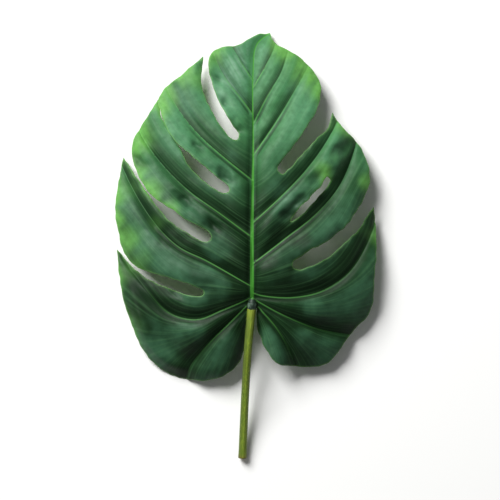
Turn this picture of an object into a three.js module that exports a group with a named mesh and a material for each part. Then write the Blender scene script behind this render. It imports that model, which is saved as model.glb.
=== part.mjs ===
// A single picked monstera leaf, lying on its underside: a slit blade, the dark knee where the
// stalk meets it, and a cut stalk. Millimetres, +Z up, +Y from the cut end towards the leaf tip.
// Plan positions are given from the point where the veins meet.

import * as THREE from 'three';

// ---- Driving dimensions ----

const BLADE_THICKNESS = 0.8;
const MIDRIB_RIDGE = { height: 1.8, width: 4 };
const SIDE_VEIN_RIDGE = { height: 0.6, width: 3 };

// The blade lies like a shallow dome: highest a little above the vein junction, low at its rim.
const CROWN_HEIGHT = 37;
const CROWN_Y = 40;
const CROWN_HALF_WIDTH = 131;
const CROWN_TIP_REACH = 222;
const CROWN_BASE_REACH = 124;

// Between two veins the blade swells: higher where they lie further apart, lower near the tip,
// and steepest just below each vein.
const ARCH = {
  slope: 0.24,
  highest: 7.5,
  lean: 0.72,
  fullness: 0.85,
  midribReach: 7,
  tipLoss: 0.5,
  lossStartY: 140,
  lossFullY: 210,
};
const MIDRIB_VALLEY = { depth: 4, width: 12 };
const SLIT_EDGE = { lift: 4.5, width: 11, fadeIn: 0.35, closedFadeOut: 0.6 };
const SINUS_DROOP = { depth: 7, width: 17, startY: -6, fullY: -34 };

const OUTLINE_STEP = 5;
const VEIN_STEP = 7;
const FILL_STEP = 8;
// Least distance between surface points, as a share of their step.
const VEIN_SPACING = 0.55;
const FILL_SPACING = 0.62;

const STALK_RADIUS = 3.95;
const STALK_END_RADIUS = 4.3;
const STALK_SIDES = 14;
const STALK_STEPS = 24;

const KNEE_LENGTH = 10.6;
const KNEE_RADIUS = 4.4;
const KNEE_SIDES = 18;
const FIT_GAP = 0.3;

// The notch that holds the knee is half a circle, a little wider than the knee.
const NOTCH_RADIUS = 5.4;
const NOTCH_CENTRE_Y = -5.2;
const NOTCH_MOUTH_Y = -13;
const NOTCH_SIDES = 8;

// ---- Outline: smooth runs from corner to corner, anticlockwise from the leaf tip ----

const TIP_AND_FIRST_LEFT_SLIT = [
  [17, 250], [5, 248], [-4, 243], [-13, 238], [-28, 236], [-37, 231], [-41, 221], [-38, 202],
  [-30, 182], [-18, 161], [-12, 152], [-14, 147], [-21, 150], [-33, 166], [-43, 185],
  [-48, 203], [-46, 227],
];
const FIRST_LEFT_LOBE = [
  [-46, 227], [-57, 218], [-67, 209], [-80, 199], [-86, 188], [-83, 175], [-78, 162],
  [-70, 147], [-58, 134], [-44, 122], [-30, 110], [-22, 104], [-21, 99], [-26, 97], [-36, 102],
  [-49, 112], [-60, 124], [-67, 138], [-76, 153], [-85, 168], [-89, 187],
];
const SECOND_LEFT_LOBE = [
  [-89, 187], [-97, 173], [-105, 161], [-111, 150], [-113, 140], [-108, 126], [-102, 114],
  [-94, 102], [-84, 91], [-74, 82], [-60, 72], [-48, 66], [-40, 61], [-38, 56], [-41, 52],
  [-50, 54], [-62, 61], [-74, 69], [-86, 81], [-96, 94], [-105, 107], [-113, 119], [-122, 132],
];
const THIRD_LEFT_LOBE = [
  [-122, 132], [-125, 115], [-128, 97], [-129, 80], [-126, 62], [-121, 47], [-114, 37],
  [-104, 29], [-92, 23], [-79, 19], [-66, 15], [-52, 10], [-45, 6], [-46, 2], [-54, 1],
  [-66, 4], [-80, 9], [-94, 15], [-107, 23], [-118, 33], [-128, 45],
];
const LEFT_BASAL_LOBE = [
  [-128, 45], [-126, 25], [-123, 6], [-119, -11], [-112, -31], [-102, -52], [-88, -67],
  [-72, -76], [-55, -79], [-38, -78], [-23, -72], [-12, -61], [-7, -46], [-6, -28],
  [-NOTCH_RADIUS, NOTCH_MOUTH_Y],
];
const RIGHT_BASAL_LOBE = [
  [NOTCH_RADIUS, NOTCH_MOUTH_Y], [5.6, -24], [9, -39], [15, -52], [25, -63], [40, -65],
  [56, -66], [70, -63], [79, -55], [88, -42], [98, -29], [109, -18], [114, -5], [115, 15],
  [117, 40], [117, 62], [115, 85],
];
const SECOND_RIGHT_LOBE = [
  [115, 85], [108, 75], [99, 62], [88, 52], [77, 42], [66, 34], [54, 29], [43, 26], [38, 28],
  [38, 33], [46, 39], [55, 45], [66, 50], [77, 58], [88, 67], [96, 78], [103, 89], [109, 101],
  [111, 114], [108, 128], [101, 143], [90, 155], [81, 165], [76, 174],
];
const FIRST_RIGHT_SLIT = [
  [76, 174], [72, 160], [60, 148], [46, 133], [34, 120], [28, 115], [24, 119], [27, 127],
  [38, 140], [50, 158], [59, 172], [64, 188], [64, 202], [56, 215], [44, 227], [30, 235],
  [20, 242], [17, 250],
];
const CLOSED_SLIT = [
  [36, 71], [43, 74], [53, 84], [62, 94], [69, 102], [74, 110], [70, 113], [62, 105],
  [53, 96], [45, 85], [38, 76],
];
const RIM_RUNS_LEFT = [
  TIP_AND_FIRST_LEFT_SLIT, FIRST_LEFT_LOBE, SECOND_LEFT_LOBE, THIRD_LEFT_LOBE, LEFT_BASAL_LOBE,
];
const RIM_RUNS_RIGHT = [RIGHT_BASAL_LOBE, SECOND_RIGHT_LOBE, FIRST_RIGHT_SLIT];

// ---- Veins, from the root outwards and past the rim. Side veins run in order, tip to base ----

const MIDRIB = [[0, -1], [0, 60], [1, 136], [1, 212], [4, 238], [17, 251]];
const LEFT_VEINS = [
  [[1, 171], [-10, 186], [-24, 204], [-33, 220], [-40, 240]],
  [[0.5, 109], [-27, 131], [-49, 151], [-66, 172], [-80, 197], [-84, 212]],
  [[0, 56], [-31, 79], [-60, 100], [-84, 124], [-103, 150], [-112, 168]],
  [[0, 10], [-42, 34], [-70, 48], [-96, 75], [-120, 116], [-127, 136]],
  [[-0.5, -0.5], [-28, -12], [-52, -21], [-78, -15], [-100, 8], [-122, 36], [-132, 52]],
  [[-3, -6], [-23, -26], [-40, -43], [-58, -66], [-64, -84]],
];
const RIGHT_VEINS = [
  [[1, 162], [14, 188], [28, 212], [36, 240]],
  [[0.8, 132], [23, 165], [38, 190], [52, 216], [60, 236]],
  [[0.2, 69], [31, 98], [58, 128], [76, 156], [86, 178]],
  [[0, 31], [31, 55], [60, 78], [82, 104], [96, 136], [102, 160]],
  [[0, 4.5], [8, 2], [38, 0], [66, 6], [92, 24], [112, 58], [120, 88]],
  [[0.5, -1], [30, -17], [62, -30], [92, -36], [112, -38]],
  [[3, -6], [23, -29], [38, -56], [44, -76]],
];

// The line between the two basal lobes, where the stalk lies. Below SINUS_TOP_Y it divides the
// left half of the blade from the right one, and above it the midrib does.
const SINUS_LINE = [[0, -10], [-4, -46], [-8, -90]];
const SINUS_TOP_Y = -4;

// ---- Slit centrelines, from the closed inner end to the mouth ----

const OPEN_SLITS = [
  [[-14, 149], [-30, 170], [-43, 197], [-43, 226]],
  [[-23, 101], [-50, 118], [-63, 134], [-75, 153], [-85, 175], [-88, 188]],
  [[-40, 56], [-70, 73], [-94, 98], [-113, 127]],
  [[-46, 4], [-75, 13], [-104, 26], [-126, 45]],
  [[26, 117], [45, 142], [62, 165], [70, 180]],
  [[39, 29], [60, 39], [85, 58], [106, 80]],
];
const CLOSED_SLIT_LINE = [[36, 70], [50, 84], [63, 98], [73, 113]];

// ---- Curves and the rim ----

function smoothCurve(points) {
  const path = points.map(([x, y]) => new THREE.Vector3(x, y, 0));
  return new THREE.CatmullRomCurve3(path, false, 'centripetal');
}

function walk(points, step) {
  const curve = smoothCurve(points);
  const count = Math.max(3, Math.round(curve.getLength() / step));
  return curve.getSpacedPoints(count).map((p) => new THREE.Vector2(p.x, p.y));
}

function notchArc() {
  const arc = new THREE.EllipseCurve(
    0, NOTCH_CENTRE_Y, NOTCH_RADIUS, NOTCH_RADIUS, Math.PI, 0, true,
  );
  return arc.getPoints(NOTCH_SIDES);
}

// Joins runs end to end and drops the point that each run shares with the next.
function joinRuns(runs) {
  const loop = [];
  for (const run of runs) {
    loop.push(...run.slice(0, -1));
  }
  return loop;
}

function bladeRim() {
  const left = joinRuns(RIM_RUNS_LEFT.map((run) => walk(run, OUTLINE_STEP)));
  const right = joinRuns(RIM_RUNS_RIGHT.map((run) => walk(run, OUTLINE_STEP)));
  const sinusLeft = new THREE.Vector2(-NOTCH_RADIUS, NOTCH_MOUTH_Y);
  return [...left, sinusLeft, ...notchArc(), ...right];
}

function closedSlitRim() {
  const path = CLOSED_SLIT.map(([x, y]) => new THREE.Vector3(x, y, 0));
  const curve = new THREE.CatmullRomCurve3(path, true, 'centripetal');
  const count = Math.round(curve.getLength() / OUTLINE_STEP);
  return curve.getSpacedPoints(count).slice(0, -1).map((p) => new THREE.Vector2(p.x, p.y));
}

// ---- Height of the blade ----

const midribPath = walk(MIDRIB, VEIN_STEP);
const sinusPath = walk(SINUS_LINE, VEIN_STEP);
const leftPaths = LEFT_VEINS.map((vein) => walk(vein, VEIN_STEP));
const rightPaths = RIGHT_VEINS.map((vein) => walk(vein, VEIN_STEP));
const sideVeinPaths = [...leftPaths, ...rightPaths];
const openSlitPaths = OPEN_SLITS.map((slit) => walk(slit, VEIN_STEP));
const closedSlitPath = walk(CLOSED_SLIT_LINE, VEIN_STEP);

// Nearest place on a polyline: its distance, how far along it lies (0 to 1), and the side
// that the point is on (+1 to the left of the direction of travel).
function nearest(path, x, y) {
  let best = { distance: Infinity, along: 0, side: 1 };
  for (let i = 0; i < path.length - 1; i += 1) {
    const ax = path[i].x;
    const ay = path[i].y;
    const dx = path[i + 1].x - ax;
    const dy = path[i + 1].y - ay;
    const raw = ((x - ax) * dx + (y - ay) * dy) / (dx * dx + dy * dy);
    const t = THREE.MathUtils.clamp(raw, 0, 1);
    const distance = Math.hypot(x - ax - t * dx, y - ay - t * dy);
    if (distance < best.distance) {
      const side = dx * (y - ay) - dy * (x - ax) > 0 ? 1 : -1;
      best = { distance, along: (i + t) / (path.length - 1), side };
    }
  }
  return best;
}

function bell(distance, width) {
  return Math.exp(-((distance / width) ** 2));
}

function nearestSideVein(x, y) {
  return Math.min(...sideVeinPaths.map((path) => nearest(path, x, y).distance));
}

function crown(x, y) {
  const reach = y > CROWN_Y ? CROWN_TIP_REACH : CROWN_BASE_REACH;
  const across = x / CROWN_HALF_WIDTH;
  const along = (y - CROWN_Y) / reach;
  return CROWN_HEIGHT * (1 - across * across - along * along);
}

// The lobe on the tip side of a slit rides up over it, and the lobe on the base side dips.
function slitStep(path, x, y) {
  const { distance, along, side } = nearest(path, x, y);
  const mouth = path[path.length - 1];
  const tipSide = mouth.x < 0 ? -side : side;
  const fade = THREE.MathUtils.smoothstep(along, 0, SLIT_EDGE.fadeIn);
  return SLIT_EDGE.lift * tipSide * fade * Math.exp(-distance / SLIT_EDGE.width);
}

function closedSlitStep(x, y) {
  const { along } = nearest(closedSlitPath, x, y);
  const fade = 1 - THREE.MathUtils.smoothstep(along, SLIT_EDGE.closedFadeOut, 1);
  return slitStep(closedSlitPath, x, y) * fade;
}

function sinusDroop(x, y) {
  const { depth, width, startY, fullY } = SINUS_DROOP;
  const down = THREE.MathUtils.smoothstep(-y, -startY, -fullY);
  return depth * down * bell(x, width);
}

// Distances from the vein above, towards the tip, and from the vein below, towards the base.
function neighbourVeins(x, y) {
  const inSinus = y < SINUS_TOP_Y;
  const reference = inSinus ? -nearest(sinusPath, x, y).side : nearest(midribPath, x, y).side;
  const paths = reference > 0 ? leftPaths : rightPaths;
  const places = paths.map((path) => nearest(path, x, y));
  const cell = places.filter((place) => place.side * reference > 0).length;
  const distances = [
    nearest(midribPath, x, y).distance,
    ...places.map((place) => place.distance),
    nearest(sinusPath, x, y).distance,
  ];
  return { above: distances[cell], below: distances[cell + 1] };
}

function arch(x, y) {
  const { above, below } = neighbourVeins(x, y);
  const gap = above + below;
  const tipShare = THREE.MathUtils.smoothstep(y, ARCH.lossStartY, ARCH.lossFullY);
  const height = Math.min(ARCH.slope * gap, ARCH.highest) * (1 - ARCH.tipLoss * tipShare);
  const share = gap > 0 ? above / gap : 0;
  const swell = Math.max(Math.sin(Math.PI * share ** ARCH.lean), 0) ** ARCH.fullness;
  const fromMidrib = nearest(midribPath, x, y).distance;
  return height * swell * (1 - Math.exp(-fromMidrib / ARCH.midribReach));
}

function topHeight(x, y) {
  const fromMidrib = nearest(midribPath, x, y).distance;
  let z = crown(x, y) - sinusDroop(x, y) + arch(x, y);
  z -= MIDRIB_VALLEY.depth * Math.exp(-fromMidrib / MIDRIB_VALLEY.width);
  for (const path of openSlitPaths) {
    z += slitStep(path, x, y);
  }
  return z + closedSlitStep(x, y);
}

// The underside carries the midrib and the side veins as raised ribs.
function thickness(x, y) {
  const { distance, along } = nearest(midribPath, x, y);
  const midrib = MIDRIB_RIDGE.height * (1 - along) * bell(distance, MIDRIB_RIDGE.width);
  const side = SIDE_VEIN_RIDGE.height * bell(nearestSideVein(x, y), SIDE_VEIN_RIDGE.width);
  return BLADE_THICKNESS + midrib + side;
}

// ---- Points of the blade's surface ----

function inside(loop, x, y) {
  let odd = false;
  for (let i = 0, j = loop.length - 1; i < loop.length; j = i, i += 1) {
    const a = loop[i];
    const b = loop[j];
    if ((a.y > y) !== (b.y > y) && x < ((b.x - a.x) * (y - a.y)) / (b.y - a.y) + a.x) {
      odd = !odd;
    }
  }
  return odd;
}

const rim = bladeRim();
const hole = closedSlitRim();

function onBlade(x, y) {
  return inside(rim, x, y) && !inside(hole, x, y);
}

function clearOf(points, x, y, gap) {
  return points.every((p) => Math.hypot(p.x - x, p.y - y) > gap);
}

function surfacePoints() {
  const points = [...rim, ...hole];
  for (const path of [midribPath, ...sideVeinPaths]) {
    for (const p of path) {
      if (onBlade(p.x, p.y) && clearOf(points, p.x, p.y, VEIN_STEP * VEIN_SPACING)) {
        points.push(p);
      }
    }
  }
  const rowHeight = FILL_STEP * Math.sqrt(0.75);
  const box = new THREE.Box2().setFromPoints(rim);
  let row = 0;
  for (let y = box.min.y; y < box.max.y; y += rowHeight) {
    row += 1;
    for (let x = box.min.x + (row % 2) * FILL_STEP * 0.5; x < box.max.x; x += FILL_STEP) {
      if (onBlade(x, y) && clearOf(points, x, y, FILL_STEP * FILL_SPACING)) {
        points.push(new THREE.Vector2(x, y));
      }
    }
  }
  return points;
}

// ---- Delaunay triangulation by adding one point after another ----

function circumcircle(a, b, c) {
  const d = 2 * (a.x * (b.y - c.y) + b.x * (c.y - a.y) + c.x * (a.y - b.y));
  const aa = a.lengthSq();
  const bb = b.lengthSq();
  const cc = c.lengthSq();
  const x = (aa * (b.y - c.y) + bb * (c.y - a.y) + cc * (a.y - b.y)) / d;
  const y = (aa * (c.x - b.x) + bb * (a.x - c.x) + cc * (b.x - a.x)) / d;
  return { x, y, r: Math.hypot(a.x - x, a.y - y) };
}

// Edges that belong to one triangle only, in the order they run round their triangle.
function openEdges(triangles) {
  const edges = new Map();
  for (const [a, b, c] of triangles) {
    for (const [from, to] of [[a, b], [b, c], [c, a]]) {
      if (!edges.delete(`${to},${from}`)) {
        edges.set(`${from},${to}`, [from, to]);
      }
    }
  }
  return [...edges.values()];
}

// The first triangle is one that holds every point with room to spare.
function triangulate(points) {
  const far = 4000;
  const all = [
    ...points,
    new THREE.Vector2(-far, -far),
    new THREE.Vector2(far, -far),
    new THREE.Vector2(0, far),
  ];
  const make = (a, b, c) => ({ ids: [a, b, c], circle: circumcircle(all[a], all[b], all[c]) });
  const n = points.length;
  let triangles = [make(n, n + 1, n + 2)];
  points.forEach((p, i) => {
    const hit = (t) => Math.hypot(p.x - t.circle.x, p.y - t.circle.y) < t.circle.r;
    const removed = triangles.filter(hit);
    triangles = triangles.filter((t) => !hit(t));
    for (const [from, to] of openEdges(removed.map((t) => t.ids))) {
      triangles.push(make(from, to, i));
    }
  });
  return triangles.map((t) => t.ids).filter((ids) => ids.every((id) => id < n));
}

// ---- Leaf blade: a top skin, the same skin below it, and a wall along every free edge ----

function bladeGeometry() {
  const points = surfacePoints();
  const skin = triangulate(points).filter(([a, b, c]) => {
    const x = (points[a].x + points[b].x + points[c].x) / 3;
    const y = (points[a].y + points[b].y + points[c].y) / 3;
    return onBlade(x, y);
  });
  const n = points.length;
  const top = points.map((p) => [p.x, p.y, topHeight(p.x, p.y)]);
  const under = top.map(([x, y, z]) => [x, y, z - thickness(x, y)]);
  const index = [];
  for (const [a, b, c] of skin) {
    index.push(a, b, c, n + a, n + c, n + b);
  }
  for (const [from, to] of openEdges(skin)) {
    index.push(from, n + from, n + to, from, n + to, to);
  }
  const geometry = new THREE.BufferGeometry();
  const positions = [...top, ...under].flat();
  geometry.setAttribute('position', new THREE.Float32BufferAttribute(positions, 3));
  geometry.setIndex(index);
  geometry.computeVertexNormals();
  return geometry;
}

// ---- Stalk and knee ----

const blade = bladeGeometry();
blade.computeBoundingBox();
const floorHeight = blade.boundingBox.min.z;

// The stalk's centreline: its place in plan and its height over the surface the leaf lies on.
const STALK_LINE = [
  [-0.3, -11.2, 36], [-3.4, -44, 32], [-6, -84, 19.5], [-7.8, -122, 9.8],
  [-9, -152.6, STALK_END_RADIUS],
];
const stalkPath = new THREE.CatmullRomCurve3(
  STALK_LINE.map(([x, y, height]) => new THREE.Vector3(x, y, floorHeight + height)),
);

function stalkGeometry() {
  const section = new THREE.Shape();
  section.absarc(0, 0, STALK_RADIUS, 0, 2 * Math.PI);
  // A circle of n curve segments comes out with 2n sides.
  return new THREE.ExtrudeGeometry(section, {
    steps: STALK_STEPS,
    curveSegments: STALK_SIDES / 2,
    extrudePath: stalkPath,
  });
}

// The knee's outline, as shares of its radius and its length: full, then drawn in to the midrib.
const KNEE_PROFILE = [
  [0, 0], [0.84, 0], [0.98, 0.1], [1, 0.3], [0.96, 0.5], [0.82, 0.68], [0.44, 0.92], [0, 1],
];

function kneeGeometry() {
  const profile = KNEE_PROFILE.map(
    ([r, h]) => new THREE.Vector2(r * KNEE_RADIUS, h * KNEE_LENGTH),
  );
  return new THREE.LatheGeometry(profile, KNEE_SIDES);
}

const bladeMesh = new THREE.Mesh(
  blade,
  new THREE.MeshStandardMaterial({
    color: 0x2d5a3a, roughness: 0.42, metalness: 0, side: THREE.DoubleSide,
  }),
);
bladeMesh.name = 'leaf_blade';

const stalkMesh = new THREE.Mesh(
  stalkGeometry(),
  new THREE.MeshStandardMaterial({ color: 0x6f8226, roughness: 0.5, metalness: 0 }),
);
stalkMesh.name = 'leaf_stalk';

const kneeMesh = new THREE.Mesh(
  kneeGeometry(),
  new THREE.MeshStandardMaterial({ color: 0x1e3630, roughness: 0.55, metalness: 0 }),
);
kneeMesh.name = 'stalk_knee';

// The knee starts one gap past the stalk's top end and carries on in the stalk's direction.
const outOfStalk = stalkPath.getTangentAt(0).negate();
kneeMesh.position.copy(stalkPath.getPointAt(0)).addScaledVector(outOfStalk, FIT_GAP);
kneeMesh.quaternion.setFromUnitVectors(new THREE.Vector3(0, 1, 0), outOfStalk);

// The origin is at the middle of the leaf's plan, on the surface that it lies on.
const group = new THREE.Group();
group.add(bladeMesh, kneeMesh, stalkMesh);
group.updateMatrixWorld(true);
const bounds = new THREE.Box3().setFromObject(group, true);
const middle = bounds.getCenter(new THREE.Vector3());
group.position.set(-middle.x, -middle.y, -bounds.min.z);

export default group;
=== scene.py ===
import math

import bpy
import numpy as np
from mathutils import Matrix, Vector, kdtree, noise
from mathutils.geometry import delaunay_2d_cdt


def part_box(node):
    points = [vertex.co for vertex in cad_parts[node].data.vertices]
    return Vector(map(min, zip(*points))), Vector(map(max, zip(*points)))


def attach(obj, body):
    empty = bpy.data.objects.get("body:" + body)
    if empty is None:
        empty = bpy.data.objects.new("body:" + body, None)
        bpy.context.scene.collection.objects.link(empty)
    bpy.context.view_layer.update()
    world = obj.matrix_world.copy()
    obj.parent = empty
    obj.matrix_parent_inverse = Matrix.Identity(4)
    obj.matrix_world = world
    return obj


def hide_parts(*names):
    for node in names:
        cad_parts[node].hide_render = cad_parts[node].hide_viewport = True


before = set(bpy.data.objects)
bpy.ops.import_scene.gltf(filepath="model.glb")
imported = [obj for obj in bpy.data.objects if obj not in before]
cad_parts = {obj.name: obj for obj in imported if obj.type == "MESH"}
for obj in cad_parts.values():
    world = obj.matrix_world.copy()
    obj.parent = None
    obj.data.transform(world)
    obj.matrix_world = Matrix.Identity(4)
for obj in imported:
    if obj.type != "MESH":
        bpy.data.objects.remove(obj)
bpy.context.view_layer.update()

MM = 0.001

# ---------------------------------------------------------------------------
# Leaf plan, in millimetres from the point where the veins meet: +Y to the tip
# ---------------------------------------------------------------------------

# The rim, anticlockwise from the leaf tip, as smooth runs between its corners.
TIP_AND_FIRST_LEFT_SLIT = [
    (17, 250), (5, 248), (-4, 243), (-13, 238), (-28, 236), (-37, 231), (-41, 221), (-38, 202),
    (-30, 182), (-18, 161), (-12, 152), (-14, 147), (-21, 150), (-33, 166), (-43, 185),
    (-48, 203), (-46, 227),
]
FIRST_LEFT_LOBE = [
    (-46, 227), (-57, 218), (-67, 209), (-80, 199), (-86, 188), (-83, 175), (-78, 162),
    (-70, 147), (-58, 134), (-44, 122), (-30, 110), (-22, 104), (-21, 99), (-26, 97), (-36, 102),
    (-49, 112), (-60, 124), (-67, 138), (-76, 153), (-85, 168), (-89, 187),
]
SECOND_LEFT_LOBE = [
    (-89, 187), (-97, 173), (-105, 161), (-111, 150), (-113, 140), (-108, 126), (-102, 114),
    (-94, 102), (-84, 91), (-74, 82), (-60, 72), (-48, 66), (-40, 61), (-38, 56), (-41, 52),
    (-50, 54), (-62, 61), (-74, 69), (-86, 81), (-96, 94), (-105, 107), (-113, 119), (-122, 132),
]
THIRD_LEFT_LOBE = [
    (-122, 132), (-125, 115), (-128, 97), (-129, 80), (-126, 62), (-121, 47), (-114, 37),
    (-104, 29), (-92, 23), (-79, 19), (-66, 15), (-52, 10), (-45, 6), (-46, 2), (-54, 1),
    (-66, 4), (-80, 9), (-94, 15), (-107, 23), (-118, 33), (-128, 45),
]
LEFT_BASAL_LOBE = [
    (-128, 45), (-126, 25), (-123, 6), (-119, -11), (-112, -31), (-102, -52), (-88, -67),
    (-72, -76), (-55, -79), (-38, -78), (-23, -72), (-12, -61), (-7, -46), (-6, -28),
    (-4.6, -13),
]
RIGHT_BASAL_LOBE = [
    (4.6, -12), (4.1, -19), (5, -28), (9, -40), (15, -52), (25, -63), (40, -65), (56, -66),
    (70, -63), (79, -55), (88, -42), (98, -29), (109, -18), (114, -5), (115, 15), (117, 40),
    (117, 62), (115, 85),
]
SECOND_RIGHT_LOBE = [
    (115, 85), (108, 75), (99, 62), (88, 52), (77, 42), (66, 34), (54, 29), (43, 26), (38, 28),
    (38, 33), (46, 39), (55, 45), (66, 50), (77, 58), (88, 67), (96, 78), (103, 89), (109, 101),
    (111, 114), (108, 128), (101, 143), (90, 155), (81, 165), (76, 174),
]
FIRST_RIGHT_SLIT = [
    (76, 174), (72, 160), (60, 148), (46, 133), (34, 120), (28, 115), (24, 119), (27, 127),
    (38, 140), (50, 158), (59, 172), (64, 188), (64, 202), (56, 215), (44, 227), (30, 235),
    (20, 242), (17, 250),
]
CLOSED_SLIT = [
    (36, 71), (43, 74), (53, 84), (62, 94), (69, 102), (74, 110), (70, 113), (62, 105),
    (53, 96), (45, 85), (38, 76),
]
# The half circle that takes in the knee.
NOTCH_RADIUS = 4.1
NOTCH_CENTRE_Y = -5.2
NOTCH_POINTS = 13

# Veins from the root outwards, past the rim. The side veins run in order from tip to base.
MIDRIB = [(0, -1), (0, 60), (1, 136), (1, 212), (4, 238), (17, 251)]
LEFT_VEINS = [
    [(1.2, 203), (-9, 219), (-18, 234), (-22, 246)],
    [(1, 171), (-10, 186), (-24, 204), (-33, 220), (-40, 240)],
    [(0.5, 109), (-27, 131), (-49, 151), (-66, 172), (-80, 197), (-84, 212)],
    [(0, 56), (-31, 79), (-60, 100), (-84, 124), (-103, 150), (-112, 168)],
    [(0, 10), (-42, 34), (-70, 48), (-96, 75), (-120, 116), (-127, 136)],
    [(-0.5, -0.5), (-28, -12), (-52, -21), (-78, -15), (-100, 8), (-122, 36), (-132, 52)],
    [(-3, -6), (-23, -26), (-40, -43), (-58, -66), (-64, -84)],
]
RIGHT_VEINS = [
    [(1.2, 197), (11, 214), (20, 232), (24, 246)],
    [(1, 162), (14, 188), (28, 212), (36, 240)],
    [(0.8, 132), (23, 165), (38, 190), (52, 216), (60, 236)],
    [(0.2, 69), (31, 98), (58, 128), (76, 156), (86, 178)],
    [(0, 31), (31, 55), (60, 78), (82, 104), (96, 136), (102, 160)],
    [(0, 4.5), (8, 2), (38, 0), (66, 6), (92, 24), (112, 58), (120, 88)],
    [(0.5, -1), (30, -17), (62, -30), (92, -36), (112, -38)],
    [(3, -6), (23, -29), (38, -56), (44, -76)],
]
# The line between the two basal lobes. Below SINUS_TOP_Y it divides the leaf's left half from
# its right half, and above it the midrib does.
SINUS_LINE = [(0, -10), (-4, -46), (-8, -90)]
SINUS_TOP_Y = -4

# Slit centrelines, from the closed inner end to the mouth.
OPEN_SLITS = [
    [(-14, 149), (-30, 170), (-43, 197), (-43, 226)],
    [(-23, 101), (-50, 118), (-63, 134), (-75, 153), (-85, 175), (-88, 188)],
    [(-40, 56), (-70, 73), (-94, 98), (-113, 127)],
    [(-46, 4), (-75, 13), (-104, 26), (-126, 45)],
    [(26, 117), (45, 142), (62, 165), (70, 180)],
    [(39, 29), (60, 39), (85, 58), (106, 80)],
]
CLOSED_SLIT_LINE = [(36, 70), (50, 84), (63, 98), (73, 113)]

# Slits that the lobe above them folds over: how far, and where along the slit it starts and
# is complete.
FLAPS = [
    (OPEN_SLITS[1], 4.0, 0.4, 0.75),
    (OPEN_SLITS[2], 6.0, 0.35, 0.7),
    (OPEN_SLITS[3], 4.0, 0.4, 0.8),
    (CLOSED_SLIT_LINE, 5.5, 0.25, 0.5),
]

# ---------------------------------------------------------------------------
# Sizes, in millimetres; the rest are shares or plain counts
# ---------------------------------------------------------------------------

# The shallow dome that the blade lies in.
CROWN_HEIGHT = 37
CROWN_Y = 40
CROWN_HALF_WIDTH = 131
CROWN_TIP_REACH = 222
CROWN_BASE_REACH = 124

# The swelling between neighbouring veins: its height for each millimetre between them and at
# most, its lean towards the vein above, its fullness, and how it flattens towards the tip.
SWELL_SLOPE = 0.24
SWELL_HIGHEST = 7.5
SWELL_LEAN = 0.72
SWELL_FULLNESS = 0.85
SWELL_FROM_MIDRIB = 7
TIP_FLATTENING = 0.72
TIP_FLAT_FROM_Y = 140
TIP_FLAT_FULL_Y = 200

MIDRIB_VALLEY_DEPTH = 4
MIDRIB_VALLEY_REACH = 12

# The narrow folds below each side vein and beside the midrib.
FOLD_DEPTH = 1.3
FOLD_WIDTH = 1.5
SIDE_FOLD_AT = 2.4
MIDRIB_FOLD_AT = 3.4
MIDRIB_FOLD_SHARE = 0.7
TIP_FOLD_LOSS = 0.6
# How the folds fade: as shares of their vein's length, then in distance from a vein.
SIDE_FOLD_FADE_OUT = (0.25, 0.85)
MIDRIB_FOLD_FADE_OUT = (0.3, 0.9)
TIP_FOLD_FADE = (0.62, 0.8)
SIDE_FOLD_OFF_MIDRIB = (1, 5)
MIDRIB_FOLD_OFF_VEIN = (0.4, 1.8)

# How the lobes stand at a slit's edges, and where along the slit that begins and ends.
SLIT_EDGE_LIFT = 4.5
SLIT_EDGE_REACH = 11
SLIT_EDGE_FADE_IN = (0, 0.35)
CLOSED_SLIT_FADE_OUT = (0.6, 1)
FLAP_REACH = 7
CLOSED_FLAP_FADE_OUT = (0.75, 1)

SINUS_DROP = 7
SINUS_REACH = 17
SINUS_DROP_FROM = 6
SINUS_DROP_FULL = 34

# The left basal lobe's outer edge rolls up, with a dip inside the roll. Each has a height, a
# distance from the rim and a width.
ROLL_CENTRE = (-98, -38)
ROLL_LENGTH = 46
ROLL_CREST = (5.0, 9, 6)
ROLL_DIP = (3.0, 22, 8)

# The blade's waves: height, wavelength and noise seed.
BROAD_WAVES = (2.2, 46, 3.0)
MIDDLE_WAVES = (1.5, 22, 5.0)
MIDDLE_WAVES_OFF_VEIN = (0, 12)
RIM_WAVES = (1.1, 11, 8.0)
RIM_WAVES_REACH = 8

# Low ridges that run out between the side veins: height, how many side by side, and length.
BROAD_RIDGES = (0.75, 6, 30)
FINE_RIDGES = (0.35, 15, 22)
RIDGES_OFF_VEIN = (0.8, 6)
RIDGES_OFF_MIDRIB = (2, 14)
ROOM_FOR_FULL_RIDGES = 40

RIM_TURN_DOWN = 1.2
RIM_TURN_REACH = 4
SIDE_VEIN_RISE = 0.35
SIDE_VEIN_HALF_WIDTH = 0.6
MIDRIB_RISE = 0.8
MIDRIB_RISE_LOSS = 0.8
MIDRIB_HALF_WIDTH = 1.3

# Under the blade the veins stand out as ribs.
SIDE_RIB_HEIGHT = 0.8
SIDE_RIB_HALF_WIDTH = 1.4
MIDRIB_RIB_HEIGHT = 1.9
MIDRIB_RIB_HALF_WIDTH = 2.4

BLADE_THICKNESS = 0.7
RIM_THICKNESS = 0.45
THIN_RIM_WIDTH = 2.5
RIM_BULGE = 0.16
RIM_RAGGEDNESS = 0.8
RIM_RAG_LENGTH = 7
RIM_RAG_WIDTH = 5

# Spacing of the blade's surface points.
RIM_STEP = 1.2
VEIN_STEP = 1.6
SKIN_STEP = 1.75
VEIN_ROWS = (0, -0.7, 0.7, -1.5, 1.5, -2.5, 2.5, -3.8, 3.8)
LEAST_VEIN_GAP = 0.55
# How near a point may come to the ones before it, as a share of their spacing.
RIM_SPACING = 0.6
SKIN_SPACING = 0.62
# Steps along the lines that distances are measured from.
VEIN_PATH_STEP = 4
SLIT_PATH_STEP = 6
SPAN_POINTS = 24

STALK_RADIUS = 3.95
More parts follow.
